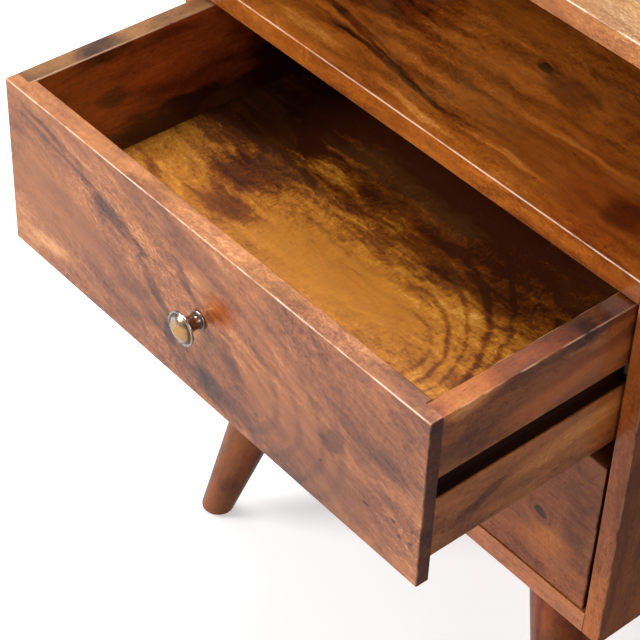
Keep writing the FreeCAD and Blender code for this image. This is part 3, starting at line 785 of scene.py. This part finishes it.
floor_tones = ((62, 25, 5), (114, 58, 8), (176, 112, 30), (224, 172, 82))
for level, seed in (("upper", 61), ("lower", 62)):
    wood(level + "_drawer_bottom", "+x+y", floor_tones, seed=seed, heart=(0.3, -0.1), rings=55,
         ring_depth=0.10, clouds=0.85, middle=0.62, bend=0.05, flecks=0.6, curl=0.5, amber=0.2, gloss=0.07,
         # Painted shade darkens the floor along the walls.
         shaded_corners=("-y+z", "+y+z", "-x+z", "+x+z"),
         quiet=((0.200, 0.100, 0.090, 0.034, 0.66),),
         knots=((0.272, 0.090, 0.022, 5.0, 0.0),),
         arcs=(
             (0.266, 0.084, 0.030, 0.036, 35, 0.10, -0.16), (0.262, 0.086, 0.042, 0.056, 35, 0.07, -0.28),
             (0.258, 0.090, 0.054, 0.074, 35, 0.05, -0.20), (0.256, 0.092, 0.066, 0.096, 35, 0.06, -0.34),
             (0.250, 0.096, 0.080, 0.124, 30, 0.04, -0.22),
         ),
         stains=(
             (0.094, 0.090, 0.036, 0.018, 20, -0.40, None),
             (0.020, 0.170, 0.110, 0.056, 10, -0.52, None),
             (0.080, 0.130, 0.050, 0.030, 50, -0.40, None),
             # The first mark here is darker wood with painted shadow from the shelf laid over it.
             (0.240, 0.245, 0.420, 0.115, 0, -0.62, None), (0.200, 0.190, 0.110, 0.006, 2, 0.16, None),
             (0.040, 0.072, 0.040, 0.006, -10, -0.24, None),
             (0.374, 0.120, 0.052, 0.110, -20, -0.34, None),
         ))


# ------------------------------------------------------------------ knobs
# Each knob is cast brass under a silvery plate, and one machine screw with a washer holds it
# from inside the drawer.  A golden patch on the domed face is a painted warm reflection, a dark
# ring inside the rim is painted shade, and the neck is darker.

for level in ("upper", "lower"):
    node = level + "_drawer_knob"
    low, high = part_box(node)
    radius = (high.x - low.x) / 2
    face_middle = ((low.x + high.x) / 2, low.y, (low.z + high.z) / 2)
    material, place = new_material(node + "_metal")
    disc = place.seen_from(face_middle, size=(radius, radius, radius))
    scuffs = place.noise((420.0, 420.0, 420.0), detail=3.0, roughness=0.6)
    out = disc.vector("MULTIPLY", (1, 0, 1)).length()
    face = disc.node("SeparateXYZ", {}, {0: disc}, output=1).rise(0.6, 0.3)
    # The golden patch on the dome is a painted warm reflection.
    reflection_spot = disc.vector("SUBTRACT", (0.28, 0.0, 0.10)).length() + (scuffs - 0.5) * 1.3
    painted_reflection = reflection_spot.rise(0.95, 0.40) * face * 0.9
    neck = face.rise(0.6, 0.2) * out.rise(0.66, 0.5) * 0.8
    # The dark ring inside the rim is painted shade.
    painted_rim_shade = out.rise(0.66, 0.78) * out.rise(0.92, 0.82) * face
    plate_stops = ((0.35, colour(150, 146, 146)), (0.65, colour(222, 214, 206)))
    plate = scuffs.node("ValToRGB", {"stops": plate_stops}, {"Fac": scuffs})
    plate = plate.mixed(painted_reflection, colour(222, 166, 98)).mixed(neck, colour(130, 100, 76))
    surface(
        place,
        Base_Color=plate.mixed(painted_rim_shade * 0.75, colour(92, 66, 50)),
        Metallic=1.0,
        Roughness=0.10 + scuffs * 0.08 + painted_rim_shade * 0.2,
        Normal=scuffs.node("Bump", {}, {"Height": scuffs, "Strength": 0.15, "Distance": 0.0002}),
    )
    dress(node, material)
    dress(node + "_screw", zinc)
    dress(node + "_washer", zinc)


# ------------------------------------------------------------------ drawer pins
# Thin panel pins of dark steel go through the sides into the drawer's back, and up through the
# bottom into its lower edge.

pin_steel = metal("pin_steel", colour(62, 54, 48), colour(116, 106, 96), 400, 0.35, 0.5)
for level in ("upper", "lower"):
    dress(level + "_drawer_back_pins", pin_steel)
    dress(level + "_drawer_bottom_pins", pin_steel)


# ------------------------------------------------------------------ floor, light and camera
# The cabinet stands on a plain white floor, under soft studio light: wide lamps ahead to the
# left, overhead and to the right, and a white surround that is brightest at the front left.

floor_half = 15.0
floor_corners = [(x * floor_half, y * floor_half, 0) for x, y in ((-1, -1), (1, -1), (1, 1), (-1, 1))]
mesh = bpy.data.meshes.new("floor")
mesh.from_pydata(floor_corners, [], [(0, 1, 2, 3)])
floor = bpy.data.objects.new("floor", mesh)
bpy.context.scene.collection.objects.link(floor)
material, place = new_material("floor_white")
surface(
    place,
    Base_Color=(0.7, 0.7, 0.7, 1.0),
    Roughness=0.7,
    Emission_Color=(1, 1, 1, 1),
    Emission_Strength=0.45,
)
mesh.materials.append(material)
floor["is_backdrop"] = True
floor.visible_diffuse = False
floor.visible_glossy = False

world = bpy.data.worlds.new("surround")
world.use_nodes = True
world.node_tree.nodes.clear()
outward = Signal(world.node_tree).node("TexCoord")
window = (-0.74, -0.67, 0)
towards_window = outward.node("VectorMath", {"operation": "DOT_PRODUCT"}, {0: outward, 1: window}, 1)
lower = towards_window.rise(-0.6, 0.85) * 0.72 + 0.20
upper = outward.node("SeparateXYZ", {}, {0: outward}, output=2).rise(-0.1, 0.25)
strength = lower + (0.36 - lower) * upper
background = outward.node("Background", {}, {"Color": (1.0, 1.0, 1.0, 1.0), "Strength": strength})
outward.node("OutputWorld", {}, {"Surface": background})
bpy.context.scene.world = world


def lamp(name, place, watts, size=2.4, target=(0, 0, 0.4)):
    """A wide, soft lamp at a place, turned to the middle of the cabinet."""
    light = bpy.data.lights.new(name, "AREA")
    light.shape = "DISK"
    light.size = size
    light.energy = watts
    holder = bpy.data.objects.new(name, light)
    holder.location = place
    holder.rotation_euler = (Vector(target) - Vector(place)).to_track_quat("-Z", "Y").to_euler()
    holder.visible_camera = False
    bpy.context.scene.collection.objects.link(holder)


lamp("key_lamp", (-2.6, -3.6, 3.4), watts=230)
lamp("top_lamp", (-0.6, 0.6, 4.6), watts=310)
lamp("fill_lamp", (4.2, -1.6, 3.2), watts=35)

camera_azimuth, camera_elevation, camera_roll = 48.09, 41.48, 2.55
bearing, height_angle = radians(camera_azimuth), radians(camera_elevation)
look = Vector((-sin(bearing) * cos(height_angle), cos(bearing) * cos(height_angle), -sin(height_angle)))
camera_data = bpy.data.cameras.new("camera")
camera_data.lens = 119.52
camera_data.sensor_width = 36.0
camera = bpy.data.objects.new("camera", camera_data)
camera.location = (0.7865, -0.8520, 1.3281)
aimed = look.to_track_quat("-Z", "Y").to_matrix()
camera.rotation_euler = (aimed @ Matrix.Rotation(radians(camera_roll), 3, "Z")).to_euler()
bpy.context.scene.collection.objects.link(camera)
bpy.context.scene.camera = camera
bpy.context.scene.view_settings.view_transform = "Standard"

sizes = {"cad": [list(corner) for corner in cad_box], "visual": [list(corner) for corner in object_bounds()]}
